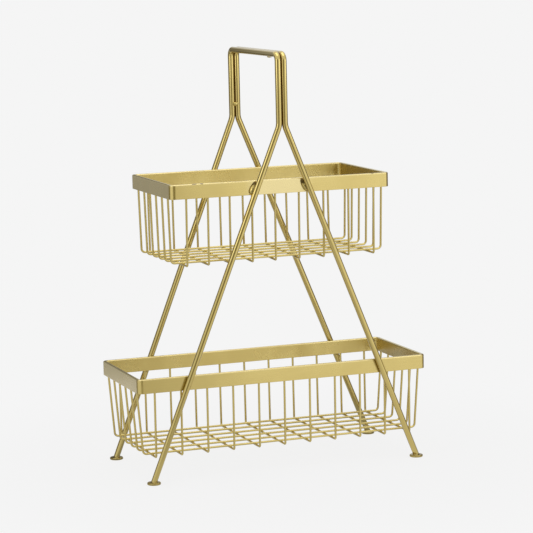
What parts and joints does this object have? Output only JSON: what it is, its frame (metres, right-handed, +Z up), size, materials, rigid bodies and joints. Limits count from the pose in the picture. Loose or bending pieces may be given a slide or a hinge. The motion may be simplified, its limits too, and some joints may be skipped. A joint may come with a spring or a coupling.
{
  "type": "tiered wire basket",
  "caption": "Freestanding tiered wire basket: splayed rod legs meet in a carrying handle and hold a small open basket above a longer one.",
  "frame": {"origin": "on the floor, under the middle of the basket", "axes": "+X along the baskets to the right, -Y to the front, +Z up to the grip"},
  "size_m": [0.4074, 0.188, 0.556],
  "materials": {
    "rod": "satin",
    "foot": "satin",
    "rim": "brushed",
    "wire": "satin",
    "weld": "satin"
  },
  "bodies": {
    "root": {"left_hoop": "rod", "right_hoop": "rod", "foot_front_left": "foot", "foot_front_right": "foot", "foot_back_left": "foot", "foot_back_right": "foot", "upper_rim": "rim", "lower_rim": "rim", "upper_cross_wire_1": "wire", "upper_cross_wire_2": "wire", "upper_cross_wire_3": "wire", "upper_cross_wire_4": "wire", "upper_cross_wire_5": "wire", "upper_cross_wire_6": "wire", "upper_cross_wire_7": "wire", "upper_cross_wire_8": "wire", "upper_cross_wire_9": "wire", "upper_long_wire_1": "wire", "upper_long_wire_2": "wire", "upper_long_wire_3": "wire", "upper_long_wire_4": "wire", "upper_long_wire_5": "wire", "upper_long_wire_6": "wire", "lower_cross_wire_1": "wire", "lower_cross_wire_2": "wire", "lower_cross_wire_3": "wire", "lower_cross_wire_4": "wire", "lower_cross_wire_5": "wire", "lower_cross_wire_6": "wire", "lower_cross_wire_7": "wire", "lower_cross_wire_8": "wire", "lower_cross_wire_9": "wire", "lower_cross_wire_10": "wire", "lower_cross_wire_11": "wire", "lower_long_wire_1": "wire", "lower_long_wire_2": "wire", "lower_long_wire_3": "wire", "lower_long_wire_4": "wire", "lower_long_wire_5": "wire", "lower_long_wire_6": "wire", "upper_rim_welds": "weld", "lower_rim_welds": "weld", "handle_welds": "weld"}
  },
  "joints": []
}
